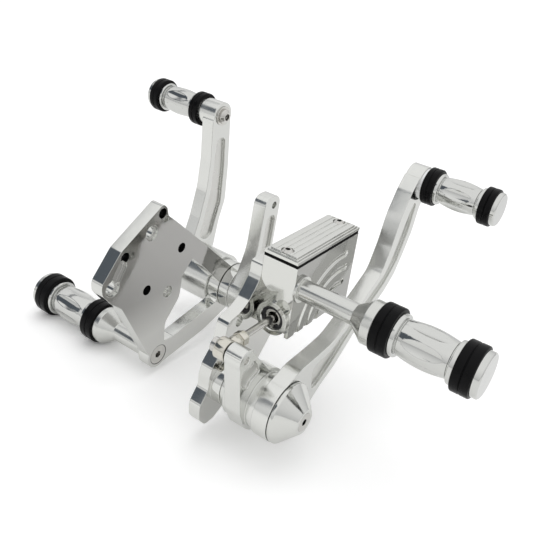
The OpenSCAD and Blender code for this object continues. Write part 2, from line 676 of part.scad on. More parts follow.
module brake_lever() {
    color("gainsboro") place() difference() {
        slab(lever_x, lever_out) {
            polygon(rounded([[5, -24], [34, -14], [49, -3], [68, 7], [94, 28], [136, 50], [150, 62],
                [160, 80], [168.5, 99], [172, 120], [187, 140], [159, 149], [150, 138], [139, 118],
                [133, 95], [123.5, 72], [109, 63], [76, 43], [61, 35.4], [39, 33], [12, 31.5], [-8, 24]],
                [0, 20, 40, 40, 40, 30, 20, 60, 40, 20, 0, 0, 30, 40, 40, 20, 40, 20, 40, 40, 30, 0]));
            translate(brake_toe_c) circle(r = 14.4);
            circle(r = hub_r + 0.5);
        }
        slab(lever_out - pocket_d, lever_out + 1) polygon(rounded([[31, 24], [56, 27.5], [80, 38.5],
            [104, 53.5], [131, 69], [139, 82], [150, 109], [159, 127], [164.5, 124], [160, 100],
            [149, 74], [134, 59], [90, 34], [64, 15], [46, 3.5], [36, -1]],
            [7, 40, 40, 40, 12, 40, 60, 2.5, 2.5, 60, 20, 30, 40, 40, 20, 7]));
        bar(shaft_r + bush_t, lever_x - 1, lever_out + 1, [0, 0]);
        bar(toe_bolt_r + slip, lever_x - 1, lever_out + 1, brake_toe_c);
        for (a = [30, 150, 270]) bar(2.5 + slip, lever_x - 1, lever_x + 6, 18 * [cos(a), sin(a)]);
    }
}
module lever_dowels() {
    color("silver") place() for (a = [30, 150, 270])
        bar(2.5, lever_x - 6, lever_x + 6, 18 * [cos(a), sin(a)]);
}
module brake_shaft() {
    color("silver") place() difference() {
        bar(shaft_r, right_x, cone_x, [0, 0]);
        bar(4, cone_x - 20, cone_x + 1, [0, 0]);
    }
}
module brake_bushes() {
    color("darkgoldenrod") place() for (x = [[arm_x, arm_x + 12], [lever_out - 14, lever_out]])
        difference() {
            bar(shaft_r + bush_t - 0.01, x[0], x[1], [0, 0]);
            bar(shaft_r + run_gap, x[0] - 1, x[1] + 1, [0, 0]);
        }
}
module brake_spacer() {
    color("gainsboro") place() difference() {
        bar(boss_r - 0.6, right_out + boss_t, spacer_end, [0, 0]);
        bar(shaft_r + slip, right_out, spacer_end + 1, [0, 0]);
    }
}
cone_end_r = 10.4;
cone_head_r = 8;
module hub_cone() {
    color("gainsboro") place() lay(cone_x, [0, 0]) difference() {
        rotate_extrude() polygon([[0, 0], [hub_r - 0.4, 0], [hub_r, 0.4], [hub_r, 3],
            [cone_end_r + 0.4, cone_l - 0.5], [cone_end_r, cone_l], [0, cone_l]]);
        translate([0, 0, cone_l]) flat_hole(4, cone_l, cone_head_r);
    }
}
module hub_cone_screw() {
    color("silver") place() lay(cone_x + cone_l - head_sink, [0, 0])
        flat_screw(4 - slip, cone_l + 16, cone_head_r - head_sink, 5);
}
module cylinder_screws() {
    color("silver") place() for (s = mc_screws) lay(right_x + head_sink, s, -1)
        flat_screw(2.5, right_plate_t + 5.8, mc_head_r - head_sink, 3);
}
module brake_peg_body() { color("gainsboro") place() lay(brake_ring_x, brake_toe_c) toe_body(10); }
module brake_peg_ring_inner() {
    color("black") place() lay(brake_ring_x, brake_toe_c) peg_ring(toe_seat_r, toe_ring_r, toe_ring_w);
}
module brake_peg_ring_outer() {
    color("black") place() lay(brake_ring_x + toe_pitch, brake_toe_c)
        peg_ring(toe_seat_r, toe_ring_r, toe_ring_w);
}
module brake_peg_cap() {
    color("silver") place() lay(brake_ring_x + toe_pitch + toe_ring_w, brake_toe_c) toe_cap();
}
module brake_peg_washer() {
    color("silver") place() difference() {
        bar(toe_lip_r, lever_out, brake_ring_x, brake_toe_c);
        bar(toe_bolt_r + slip, lever_out - 1, brake_ring_x + 1, brake_toe_c);
    }
}
module brake_peg_screw() {
    color("silver") place() lay(lever_x, brake_toe_c, -1) toe_screw(brake_lever_t + toe_washer_t);
}
module right_footpeg_stem() {
    color("gainsboro") place() {
        lay(right_stem_x, right_foot_c) foot_stem(stem_l, stem_collar_l);
        bar(11, right_stem_x, right_stem_x + 2.4, right_foot_c);
        bar(peg_bolt_r, right_out - 8, right_stem_x + 1, right_foot_c);
    }
}
module right_footpeg_body() { color("gainsboro") place() lay(right_ring_x, right_foot_c) foot_body(10); }
module right_footpeg_ring_inner() {
    color("black") place() lay(right_ring_x, right_foot_c)
        peg_ring(foot_seat_r, foot_ring_r, foot_ring_w);
}
module right_footpeg_ring_outer() {
    color("black") place() lay(right_ring_x + foot_pitch, right_foot_c)
        peg_ring(foot_seat_r, foot_ring_r, foot_ring_w);
}
module right_footpeg_cap() {
    color("silver") place() lay(right_ring_x + foot_pitch + foot_ring_w, right_foot_c) foot_cap();
}

left_plate();
right_plate();
shift_lever();
linkage_arm();
shift_shaft();
shift_bush();
shift_spacer();
linkage_washer();
linkage_screw();
shift_peg_body();
shift_peg_ring_inner();
shift_peg_ring_outer();
shift_peg_cap();
shift_peg_washer();
shift_peg_screw();
left_footpeg_stem();
left_footpeg_screw();
left_footpeg_body();
left_footpeg_ring_inner();
left_footpeg_ring_outer();
left_footpeg_cap();
master_cylinder();
reservoir_gasket();
reservoir_cover();
cover_screws();
brake_piston();
piston_cup();
piston_spring();
bore_washer();
circlip();
push_rod();
lock_nut();
rod_end();
rod_bolt();
brake_arm();
brake_lever();
lever_dowels();
brake_shaft();
brake_bushes();
brake_spacer();
hub_cone();
hub_cone_screw();
cylinder_screws();
brake_peg_body();
brake_peg_ring_inner();
brake_peg_ring_outer();
brake_peg_cap();
brake_peg_washer();
brake_peg_screw();
right_footpeg_stem();
right_footpeg_body();
right_footpeg_ring_inner();
right_footpeg_ring_outer();
right_footpeg_cap();
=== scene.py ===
import json
import math

import bmesh
import bpy
from mathutils import Matrix, Vector


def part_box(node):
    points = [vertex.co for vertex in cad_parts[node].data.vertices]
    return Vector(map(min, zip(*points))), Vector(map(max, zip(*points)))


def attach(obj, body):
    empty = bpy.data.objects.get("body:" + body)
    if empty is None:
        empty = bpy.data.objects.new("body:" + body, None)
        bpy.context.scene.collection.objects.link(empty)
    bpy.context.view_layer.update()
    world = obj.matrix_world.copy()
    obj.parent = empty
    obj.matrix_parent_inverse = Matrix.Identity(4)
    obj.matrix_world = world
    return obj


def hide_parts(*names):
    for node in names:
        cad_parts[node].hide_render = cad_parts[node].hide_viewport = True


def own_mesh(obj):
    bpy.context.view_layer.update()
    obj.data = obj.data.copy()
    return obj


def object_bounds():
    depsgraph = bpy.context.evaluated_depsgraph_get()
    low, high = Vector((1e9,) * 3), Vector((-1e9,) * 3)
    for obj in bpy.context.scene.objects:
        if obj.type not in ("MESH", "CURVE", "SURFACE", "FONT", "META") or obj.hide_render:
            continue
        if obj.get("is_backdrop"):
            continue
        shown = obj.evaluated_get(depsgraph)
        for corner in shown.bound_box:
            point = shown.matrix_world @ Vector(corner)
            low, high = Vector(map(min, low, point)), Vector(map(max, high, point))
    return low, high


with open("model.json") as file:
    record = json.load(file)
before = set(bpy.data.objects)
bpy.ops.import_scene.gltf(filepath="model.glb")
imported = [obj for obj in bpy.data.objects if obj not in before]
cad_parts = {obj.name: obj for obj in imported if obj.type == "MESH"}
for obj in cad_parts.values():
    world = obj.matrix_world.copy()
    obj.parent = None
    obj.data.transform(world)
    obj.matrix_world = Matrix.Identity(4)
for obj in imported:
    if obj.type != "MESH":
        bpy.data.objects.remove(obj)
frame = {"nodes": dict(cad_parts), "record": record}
cad_box = [list(map(float, corner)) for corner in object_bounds()]
scene = bpy.context.scene
nodes = frame["nodes"]

# Camera: a 50 mm lens above and behind the brake side, at the photograph's angle. Its place and
# turn come from a camera fitted to the round rings, the peg axes and the square reservoir.
lens_mm = 50.02
sensor_mm = 36.0
nearest_seen = 0.02
camera_at = Vector((0.3573, -0.3858, 0.2894))
camera_turn = Matrix((
    (0.7977, -0.3719, 0.4748),
    (0.5922, 0.3342, -0.7332),
    (0.1140, 0.8660, 0.4868),
))
camera = bpy.data.objects.new("camera", bpy.data.cameras.new("camera"))
camera.data.lens = lens_mm
camera.data.sensor_width = sensor_mm
camera.data.clip_start = nearest_seen
camera.matrix_world = Matrix.Translation(camera_at) @ camera_turn.to_4x4()
scene.collection.objects.link(camera)
scene.camera = camera
scene.view_settings.view_transform = "Standard"

# Studio floor: a wide sheet of white paper that the set rests on. The camera and the metal see it
# whiter than it lights them, so that it meets the white backdrop, and it keeps the soft shadows.
floor_gap = 0.0003
floor_size = 8.0
floor_rough = 0.9
floor_specular = 0.1
floor_colour = (0.80, 0.80, 0.795, 1.0)
floor_seen = (1.19, 1.19, 1.192, 1.0)
floor_mirrored = (0.98, 0.98, 0.975, 1.0)


def shader(material):
    """The material's node tree and its shader, with the nodes switched on."""
    material.use_nodes = True
    tree = material.node_tree
    surface = next(n for n in tree.nodes if n.type == "BSDF_PRINCIPLED")
    return tree, surface


def feed(tree, value, socket):
    """Links a socket to another one, or sets it to a number or a colour."""
    if isinstance(value, bpy.types.NodeSocket):
        tree.links.new(value, socket)
    else:
        socket.default_value = value


def calculate(tree, operation, *values):
    """A sum in a node tree; each value is a socket or a number."""
    node = tree.nodes.new("ShaderNodeMath")
    node.operation = operation
    for value, socket in zip(values, node.inputs):
        feed(tree, value, socket)
    return node.outputs[0]


def blend(tree, kind, share, first, second):
    """Mixes two values or colours, kind FLOAT or RGBA; share is how much of the second shows."""
    mix = tree.nodes.new("ShaderNodeMix")
    mix.data_type = kind
    for value, name in ((share, "Factor"), (first, "A"), (second, "B")):
        feed(tree, value, mix.inputs[name])
    return mix.outputs["Result"]


def rays(tree, *kinds):
    """One where a ray of any of these kinds meets the surface or the sky, and zero elsewhere."""
    path = tree.nodes.new("ShaderNodeLightPath")
    met = path.outputs[kinds[0]]
    for kind in kinds[1:]:
        met = calculate(tree, "MAXIMUM", met, path.outputs[kind])
    return met


bpy.ops.object.select_all(action="DESELECT")
bpy.ops.mesh.primitive_plane_add(size=floor_size, location=(0.0, 0.0, cad_box[0][2] - floor_gap))
floor = bpy.context.object
floor.name = "floor"
floor_paper = bpy.data.materials.new("floor_paper")
tree, surface = shader(floor_paper)
surface.inputs["Roughness"].default_value = floor_rough
surface.inputs["Specular IOR Level"].default_value = floor_specular
paper = blend(tree, "RGBA", rays(tree, "Is Camera Ray"), floor_colour, floor_seen)
mirrored = rays(tree, "Is Glossy Ray", "Is Transmission Ray")
tree.links.new(blend(tree, "RGBA", mirrored, paper, floor_mirrored), surface.inputs["Base Color"])
floor.data.materials.append(floor_paper)
floor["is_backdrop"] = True

# World: plain white light, and for the metal a white light tent round the set. The tent has a grey
# seam above the shift side and an opening to a dark room up behind that side, and the polished
# metal shows both as slate bands. The camera itself sees white cloth.
plain_light = (0.88, 0.88, 0.88, 1.0)
tent_top = (0.98, 0.98, 0.98, 1.0)
tent_side = (0.77, 0.77, 0.775, 1.0)
tent_low = (0.60, 0.605, 0.61, 1.0)
level_height = 0.50
side_height = 0.62
top_height = 0.85
white_cloth = (1.0, 1.0, 1.0, 1.0)
seam_grey = (0.27, 0.28, 0.295, 1.0)
seam_towards = (-0.687, -0.06, 0.738)
seam_half_size = (0.62, 0.05)
seam_soft = 0.04
seam_turn = -12.0
room_slate = (0.10, 0.115, 0.135, 1.0)
room_towards = (-0.62, -0.60, 0.52)
room_half_size = (0.30, 0.24)
room_soft = 0.02
panel_horizon = 0.02
world = bpy.data.worlds.new("tent")
world.use_nodes = True
scene.world = world
sky_tree = world.node_tree
background = next(n for n in sky_tree.nodes if n.type == "BACKGROUND")
direction = sky_tree.nodes.new("ShaderNodeTexCoord").outputs["Generated"]


def along(tree, vector, axis):
    """How far a vector socket reaches along an axis."""
    dot = tree.nodes.new("ShaderNodeVectorMath")
    dot.operation = "DOT_PRODUCT"
    dot.inputs[1].default_value = axis
    tree.links.new(vector, dot.inputs[0])
    return dot.outputs["Value"]


def sky_panel(below, towards, half_size, colour, soft, turn=0.0):
    """Lays a flat panel over the sky, its middle in a direction from the set.

    half_size and soft are the tangents of angles seen from the set, and turn is in degrees.
    """
    middle = Vector(towards).normalized()
    across = Vector((0.0, 0.0, 1.0)).cross(middle).normalized()
    up = middle.cross(across)
    spin = Matrix.Rotation(math.radians(turn), 3, middle)
    ahead = along(sky_tree, direction, middle)
    inside = calculate(sky_tree, "GREATER_THAN", ahead, panel_horizon)
    for axis, half in zip((spin @ across, spin @ up), half_size):
        aside = calculate(sky_tree, "DIVIDE", along(sky_tree, direction, axis), ahead)
        off = calculate(sky_tree, "ABSOLUTE", aside)
        edge = sky_tree.nodes.new("ShaderNodeMapRange")
        edge.interpolation_type = "SMOOTHSTEP"
        edge.inputs["From Min"].default_value = half - soft
        edge.inputs["From Max"].default_value = half + soft
        edge.inputs["To Min"].default_value = 1.0
        edge.inputs["To Max"].default_value = 0.0
        sky_tree.links.new(off, edge.inputs["Value"])
        inside = calculate(sky_tree, "MULTIPLY", inside, edge.outputs["Result"])
    return blend(sky_tree, "RGBA", inside, below, colour)


tent = sky_tree.nodes.new("ShaderNodeValToRGB")
low_cloth, top_cloth = tent.color_ramp.elements
low_cloth.position = level_height
low_cloth.color = tent_low
top_cloth.position = top_height
top_cloth.color = tent_top
tent.color_ramp.elements.new(side_height).color = tent_side
height = calculate(sky_tree, "MULTIPLY_ADD", along(sky_tree, direction, (0.0, 0.0, 1.0)), 0.5, 0.5)
sky_tree.links.new(height, tent.inputs["Fac"])
sky = sky_panel(tent.outputs["Color"], seam_towards, seam_half_size, seam_grey, seam_soft, seam_turn)
sky = sky_panel(sky, room_towards, room_half_size, room_slate, room_soft)
sky = blend(sky_tree, "RGBA", rays(sky_tree, "Is Camera Ray"), sky, white_cloth)
watched = rays(sky_tree, "Is Camera Ray", "Is Glossy Ray", "Is Transmission Ray")
sky_tree.links.new(blend(sky_tree, "RGBA", watched, plain_light, sky), background.inputs["Color"])
background.inputs["Strength"].default_value = 1.0

# Overhead softbox: a square lamp above the set, a little forward of its middle. It gives the soft
# shadow under the set, and the metal doesn't mirror it.
softbox_watts = 2.0
softbox_size = 0.9
softbox_at = (0.05, 0.15, 1.1)
softbox = bpy.data.objects.new("softbox", bpy.data.lights.new("softbox", "AREA"))
softbox.data.energy = softbox_watts
softbox.visible_glossy = False
softbox.data.size = softbox_size
softbox.matrix_world = Matrix.Translation(softbox_at)
scene.collection.objects.link(softbox)

# Shift side plate and brake side plate: milled from aluminium plate. The shift plate's face is
# satin, from fine grinding. The edges, the shift plate's lower arm and the brake plate are
# polished by hand. The frame's bolt holes and the gap round the lug's screw get painted shade.
plate_face_rough = 0.07
plate_edge_rough = 0.10
weld_reach = 0.00001
flat_angle = 1.0
plate_break = 0.0002
plate_round = 0.0004
plate_waves = 0.00003
wave_scale = 110.0
grind_depth = 0.000004
plate_face_tone = (0.42, 0.415, 0.405, 1.0)
plate_edge_tone = (0.74, 0.745, 0.72, 1.0)
plate_polished_tone = (0.66, 0.66, 0.64, 1.0)
arm_polished_z = -0.080
arm_end_z = -0.040
between_plates_x = 0.03
shift_plate_x = -0.006
bolt_circle_r = 0.03338
bolt_turns = (77.5, 167.5, 257.5, 347.5)
bolt_shade_r = 0.0045
bolt_shade = (0.05, 0.05, 0.05, 1.0)
lug_at = (shift_plate_x, 0.0105, -0.1065)
lug_head_r = 0.0094
lug_gap = 0.0003
lug_shade = (0.06, 0.06, 0.06, 1.0)
through_plate = (0.1, 1.0, 1.0)


def break_edges(node, width, angle=30.0):
    """Welds a solid's triangles, joins its flats and bevels what is sharper than angle.

    With no width the edges stay sharp.
    """
    piece = nodes[node]
    weld = piece.modifiers.new("weld", "WELD")
    weld.merge_threshold = weld_reach
    if width:
        flats = piece.modifiers.new("flats", "DECIMATE")
        flats.decimate_type = "DISSOLVE"
        flats.angle_limit = math.radians(flat_angle)
        bevel = piece.modifiers.new("edge_break", "BEVEL")
        bevel.width = width
        bevel.segments = 2
        bevel.limit_method = "ANGLE"
        bevel.angle_limit = math.radians(angle)
        bevel.use_clamp_overlap = False
    else:
        split = piece.modifiers.new("sharp_edges", "EDGE_SPLIT")
        split.split_angle = math.radians(angle)
        split.use_edge_sharp = False
    shine = piece.modifiers.new("flat_faces", "WEIGHTED_NORMAL")
    shine.weight = 100
    shine.keep_sharp = False
    for polygon in piece.data.polygons:
        polygon.use_smooth = True


def finish_with(node, material):
    """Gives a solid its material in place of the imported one."""
    piece = nodes[node]
    piece.data.materials.clear()
    piece.data.materials.append(material)


def bare_metal(name):
    """A new metal: its material, node tree and shader."""
    material = bpy.data.materials.new(name)
    tree, surface = shader(material)
    surface.inputs["Metallic"].default_value = 1.0
    return material, tree, surface


def noise(tree, scale, detail, stretch=(1.0, 1.0, 1.0)):
    """Noise on the piece's own coordinates, drawn out by stretch; returns its value."""
    place = tree.nodes.new("ShaderNodeTexCoord")
    mapping = tree.nodes.new("ShaderNodeMapping")
    mapping.inputs["Scale"].default_value = stretch
    texture = tree.nodes.new("ShaderNodeTexNoise")
    texture.inputs["Scale"].default_value = scale
    texture.inputs["Detail"].default_value = detail
    texture.inputs["Roughness"].default_value = 0.55
    tree.links.new(place.outputs["Object"], mapping.inputs["Vector"])
    tree.links.new(mapping.outputs["Vector"], texture.inputs["Vector"])
    return texture.outputs["Fac"]


def spread(tree, value, low, high, start=0.3, end=0.7):
    """Maps a value from start..end, which is where noise mostly lies, to low..high."""
    node = tree.nodes.new("ShaderNodeMapRange")
    node.inputs["From Min"].default_value = start
    node.inputs["From Max"].default_value = end
    node.inputs["To Min"].default_value = low
    node.inputs["To Max"].default_value = high
    tree.links.new(value, node.inputs["Value"])
    return node.outputs["Result"]


def relief(tree, surface, height, depth, rounded=0.0, waves=0.0):
    """Bumps the surface by a height value, depth in metres.

    rounded softens the sharp edges, and waves is the depth of the hand polishing's slow waves.
    """
    bump = tree.nodes.new("ShaderNodeBump")
    bump.inputs["Distance"].default_value = depth
    bump.inputs["Strength"].default_value = 1.0
    if rounded:
        soften = tree.nodes.new("ShaderNodeBevel")
        soften.samples = 6
        soften.inputs["Radius"].default_value = rounded
        wavy = tree.nodes.new("ShaderNodeBump")
        wavy.inputs["Distance"].default_value = waves
        tree.links.new(noise(tree, wave_scale, detail=1.0), wavy.inputs["Height"])
        tree.links.new(soften.outputs["Normal"], wavy.inputs["Normal"])
        tree.links.new(wavy.outputs["Normal"], bump.inputs["Normal"])
    tree.links.new(height, bump.inputs["Height"])
    tree.links.new(bump.outputs["Normal"], surface.inputs["Normal"])


def tones(tree, surface, value, dark, light):
    """Colours the surface between two tones by a value."""
    tree.links.new(blend(tree, "RGBA", value, dark, light), surface.inputs["Base Color"])


def deepen(tree, surface, where, colour):
    """Lays a colour over the surface's own where a value is one."""
    own = surface.inputs["Base Color"].links[0].from_socket
    tree.links.new(blend(tree, "RGBA", where, own, colour), surface.inputs["Base Color"])


def facing(tree, start, end):
    """How squarely the surface faces inboard or outboard, along X, from 0 to 1."""
    normal = tree.nodes.new("ShaderNodeTexCoord").outputs["Normal"]
    square = calculate(tree, "ABSOLUTE", along(tree, normal, (1.0, 0.0, 0.0)))
    return spread(tree, square, 0.0, 1.0, start, end)


def near(tree, centres, squash, radius):
    """One within a radius of any of these places, with each axis's offset scaled by squash."""
    place = tree.nodes.new("ShaderNodeTexCoord").outputs["Object"]
    inside = 0.0
    for centre in centres:
        offset = place
        for operation, by in (("SUBTRACT", centre), ("MULTIPLY", squash)):
            step = tree.nodes.new("ShaderNodeVectorMath")
            step.operation = operation
            step.inputs[1].default_value = by
            tree.links.new(offset, step.inputs[0])
            offset = step.outputs["Vector"]
        reach = tree.nodes.new("ShaderNodeVectorMath")
        reach.operation = "LENGTH"
        tree.links.new(offset, reach.inputs[0])
        here = calculate(tree, "LESS_THAN", reach.outputs["Value"], radius)
        inside = calculate(tree, "MAXIMUM", inside, here)
    return inside


plate_metal, tree, surface = bare_metal("plate_aluminium")
face = facing(tree, start=0.96, end=0.995)
tones(tree, surface, face, plate_edge_tone, plate_face_tone)
place = tree.nodes.new("ShaderNodeSeparateXYZ")
tree.links.new(tree.nodes.new("ShaderNodeTexCoord").outputs["Object"], place.inputs["Vector"])
lower_arm = spread(tree, place.outputs["Z"], 1.0, 0.0, arm_polished_z, arm_end_z)
brake_side = calculate(tree, "GREATER_THAN", place.outputs["X"], between_plates_x)
polished = calculate(tree, "MAXIMUM", lower_arm, brake_side)
deepen(tree, surface, calculate(tree, "MULTIPLY", polished, face), plate_polished_tone)
bolt_holes = [(shift_plate_x, bolt_circle_r * math.cos(turn), bolt_circle_r * math.sin(turn))
              for turn in map(math.radians, bolt_turns)]
# Painted shade: dark discs through the plate at the frame's bolt holes, and round the lug's screw
# for the gap.
deepen(tree, surface, near(tree, bolt_holes, through_plate, bolt_shade_r), bolt_shade)
deepen(tree, surface, near(tree, [lug_at], through_plate, lug_head_r + lug_gap), lug_shade)
haze = noise(tree, scale=45.0, detail=5.0)
face_rough = spread(tree, haze, plate_face_rough - 0.04, plate_face_rough + 0.05)
edge_rough = spread(tree, haze, plate_edge_rough - 0.03, plate_edge_rough + 0.04)
tree.links.new(blend(tree, "FLOAT", face, edge_rough, face_rough), surface.inputs["Roughness"])
grind = noise(tree, scale=900.0, detail=3.0, stretch=(1.0, 1.0, 0.12))
relief(tree, surface, grind, grind_depth, plate_round, plate_waves)
for name in ("left_plate", "right_plate"):
    break_edges(name, plate_break)
    finish_with(name, plate_metal)

# Levers and arms: milled from aluminium bar and polished. Their narrow sides keep the end mill's
# fine lines under the polish and are duller, and the pockets' floors are left as milled. The
# pivots' spacers and the hub's cone are turned from the same bar and polished bright.
lever_break = 0.0005
lever_round = 0.0005
lever_waves = 0.00004
lever_face_tone = (0.68, 0.685, 0.665, 1.0)
lever_side_tone = (0.755, 0.76, 0.735, 1.0)
turned_side_tone = (0.70, 0.705, 0.68, 1.0)
lever_side_rough = 0.16
turned_side_rough = 0.06
pocket_tone = (0.64, 0.64, 0.615, 1.0)
pocket_floors_x = (-0.0581, 0.0239, 0.1189, 0.1404)
pocket_floor_reach = 0.0002
mill_pitch = 0.0007
mill_depth = 0.000005
wave_period = 0.314
levers = ("shift_lever", "linkage_arm", "brake_arm", "brake_lever")
turned_rings = ("shift_spacer", "brake_spacer", "hub_cone")


def lines(tree, pitch):
    """Fine tool marks across X, a pitch apart in metres and not quite straight; their height.

    The wave texture repeats every wave_period where its scale is 1.
    """
    place = tree.nodes.new("ShaderNodeTexCoord")
    wave = tree.nodes.new("ShaderNodeTexWave")
    wave.bands_direction = "X"
    wave.inputs["Scale"].default_value = wave_period / pitch
    wave.inputs["Distortion"].default_value = 1.2
    wave.inputs["Detail"].default_value = 2.0
    wave.inputs["Detail Scale"].default_value = 3.0
    tree.links.new(place.outputs["Object"], wave.inputs["Vector"])
    return wave.outputs["Fac"]


for finish, side_tone, side_rough, pieces in (
        ("lever_aluminium", lever_side_tone, lever_side_rough, levers),
        ("turned_aluminium", turned_side_tone, turned_side_rough, turned_rings)):
    lever_metal, tree, surface = bare_metal(finish)
    broad = facing(tree, start=0.90, end=0.98)
    tones(tree, surface, broad, side_tone, lever_face_tone)
    pocket_floors = [(x, 0.0, 0.0) for x in pocket_floors_x]
    at_floor = near(tree, pocket_floors, (1.0, 0.0, 0.0), pocket_floor_reach)
    milled = calculate(tree, "MULTIPLY", at_floor, facing(tree, start=0.97, end=0.99))
    deepen(tree, surface, milled, pocket_tone)
    haze = noise(tree, scale=60.0, detail=5.0)
    side_polish = spread(tree, haze, low=side_rough, high=side_rough + 0.09)
    polish = blend(tree, "FLOAT", broad, side_polish, spread(tree, haze, low=0.07, high=0.15))
    rough = blend(tree, "FLOAT", milled, polish, spread(tree, haze, low=0.24, high=0.36))
    tree.links.new(rough, surface.inputs["Roughness"])
    grain = noise(tree, scale=500.0, detail=2.0)
    marks = blend(tree, "FLOAT", 0.5, lines(tree, mill_pitch), grain)
    relief(tree, surface, marks, mill_depth, lever_round, lever_waves)
    for name in pieces:
        break_edges(name, lever_break)
        finish_with(name, lever_metal)

# Master cylinder: a block with its bore and its reservoir, milled from one billet, and a cover
# held by two screws. Both are polished all over, and the block's long sides get a painted shade.
block_side_painted_shade = (0.40, 0.40, 0.385, 1.0)
block_tone = (0.74, 0.745, 0.715, 1.0)
block_round = 0.0005
block_waves = 0.00004
block_ripple = 0.000006
cover_break = 0.00015
block_metal, tree, surface = bare_metal("block_aluminium")
# Painted shade: the faces square to X, the block's long sides, take the darker colour.
tones(tree, surface, facing(tree, start=0.95, end=0.99), block_tone, block_side_painted_shade)
haze = noise(tree, scale=40.0, detail=5.0)
tree.links.new(spread(tree, haze, low=0.06, high=0.15), surface.inputs["Roughness"])
ripple = noise(tree, scale=220.0, detail=3.0)
relief(tree, surface, ripple, block_ripple, block_round, block_waves)
for name, width, angle in (("master_cylinder", 0.0, 30.0), ("reservoir_cover", cover_break, 50.0)):
    break_edges(name, width, angle)
    finish_with(name, block_metal)

# Pegs and their stems: turned from round bar. The pegs are fluted with a ball cutter and polished,
# and their end faces, the caps' ends among them, get a painted shade a little deeper in tone. The
# stems are duller. Fine turning rings stay.
peg_break = 0.0003
turning_pitch = 0.0004
turning_depth = 0.000002
peg_tones = ((0.62, 0.625, 0.605, 1.0), (0.69, 0.695, 0.675, 1.0))
peg_end_painted_shade = (0.59, 0.595, 0.585, 1.0)
stem_tones = ((0.63, 0.635, 0.61, 1.0), (0.72, 0.725, 0.70, 1.0))


def hazed(tree, surface, haze, dark, light, low, high):
    """Colours and roughens a surface by one haze, between two tones and two roughnesses."""
    tones(tree, surface, haze, dark, light)
    tree.links.new(spread(tree, haze, low, high), surface.inputs["Roughness"])


def turned_bar(name, dark, light, low, high):
    """Metal turned in a lathe about X: its material, node tree and shader."""
    material, tree, surface = bare_metal(name)
    haze = noise(tree, scale=70.0, detail=4.0, stretch=(0.3, 1.0, 1.0))
    hazed(tree, surface, haze, dark, light, low, high)
    grain = noise(tree, scale=700.0, detail=2.0)
    rings = blend(tree, "FLOAT", 0.5, lines(tree, turning_pitch), grain)
    relief(tree, surface, rings, turning_depth)
    return material, tree, surface


peg_metal, tree, surface = turned_bar("peg_aluminium", *peg_tones, low=0.06, high=0.14)
# Painted shade: the pegs' end faces, square to X, take a darker tone.
deepen(tree, surface, facing(tree, start=0.97, end=0.99), peg_end_painted_shade)
stem_metal, tree, surface = turned_bar("stem_aluminium", *stem_tones, low=0.16, high=0.27)
for name in nodes:
    if "peg" in name and name.endswith(("_body", "_cap")):
        break_edges(name, peg_break)
        finish_with(name, peg_metal)
    elif name.endswith("peg_stem"):
        break_edges(name, peg_break)
        finish_with(name, stem_metal)

# Rings: moulded black rubber, pushed on to the pegs' seats. The skin is semi-matt, with the
# mould's fine grain and a dusty bloom.
ring_break = 0.0002
ring_specular = 0.10
ring_grain = 0.00006
ring_tones = ((0.002, 0.002, 0.0022, 1.0), (0.006, 0.006, 0.0065, 1.0))
ring_rubber = bpy.data.materials.new("ring_rubber")
tree, surface = shader(ring_rubber)
haze = noise(tree, scale=55.0, detail=5.0)
tones(tree, surface, haze, *ring_tones)
surface.inputs["Specular IOR Level"].default_value = ring_specular
skin_rough = spread(tree, haze, low=0.22, high=0.42, start=0.35, end=0.65)
tree.links.new(skin_rough, surface.inputs["Roughness"])
relief(tree, surface, noise(tree, scale=700.0, detail=4.0), ring_grain)
for name in nodes:
    if "ring_" in name:
        break_edges(name, ring_break)
        finish_with(name, ring_rubber)

# Seals: the reservoir's gasket and the piston's cup, moulded in matt black rubber. The gasket is
# held under the cover, and the cup lies between the piston and its spring.
seal_rough = 0.7
seal_specular = 0.1
seal_grain = 0.00002
seal_tones = ((0.002, 0.002, 0.002, 1.0), (0.005, 0.005, 0.005, 1.0))
seal_rubber = bpy.data.materials.new("seal_rubber")
tree, surface = shader(seal_rubber)
tones(tree, surface, noise(tree, scale=90.0, detail=5.0), *seal_tones)
surface.inputs["Roughness"].default_value = seal_rough
surface.inputs["Specular IOR Level"].default_value = seal_specular
relief(tree, surface, noise(tree, scale=900.0, detail=3.0), seal_grain)
for name in ("reservoir_gasket", "piston_cup"):
    finish_with(name, seal_rubber)

# Screws, shafts, push rod, piston, dowels and washers: turned steel, bright zinc plated. The
# screws' sockets get painted shade inside.
steel_break = 0.0002
steel_round = 0.0003
steel_grain = 0.000006
steel_tones = ((0.52, 0.51, 0.49, 1.0), (0.72, 0.71, 0.68, 1.0))
socket_painted_shade = (0.07, 0.07, 0.068, 1.0)
socket_r = 0.0028
cover_socket_r = 0.0020
cover_head_r = 0.0047
screw_steel, tree, surface = bare_metal("screw_steel")
haze = noise(tree, scale=160.0, detail=5.0)
hazed(tree, surface, haze, *steel_tones, low=0.10, high=0.22)
grain = noise(tree, scale=1500.0, detail=2.0)
relief(tree, surface, grain, steel_grain, steel_round)
sockets = []
for name in ("shift_peg_screw", "brake_peg_screw", "left_footpeg_screw", "hub_cone_screw"):
    low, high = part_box(name)
    sockets.append([(a + b) / 2 for a, b in zip(low, high)])
# Painted shade: dark discs where the four pivot and peg screws and the two cover screws have their
# sockets.
deepen(tree, surface, near(tree, sockets, (0.0, 1.0, 1.0), socket_r), socket_painted_shade)
low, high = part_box("cover_screws")
cover_sockets = [((low[0] + high[0]) / 2, y, high[2])
                 for y in (low[1] + cover_head_r, high[1] - cover_head_r)]
deepen(tree, surface, near(tree, cover_sockets, (1.0, 1.0, 0.3), cover_socket_r), socket_painted_shade)
for subpart in frame["record"]["subparts"]:
    if subpart["material_slot"] == "screw_steel":
        break_edges(subpart["node"], steel_break)
        finish_with(subpart["node"], screw_steel)

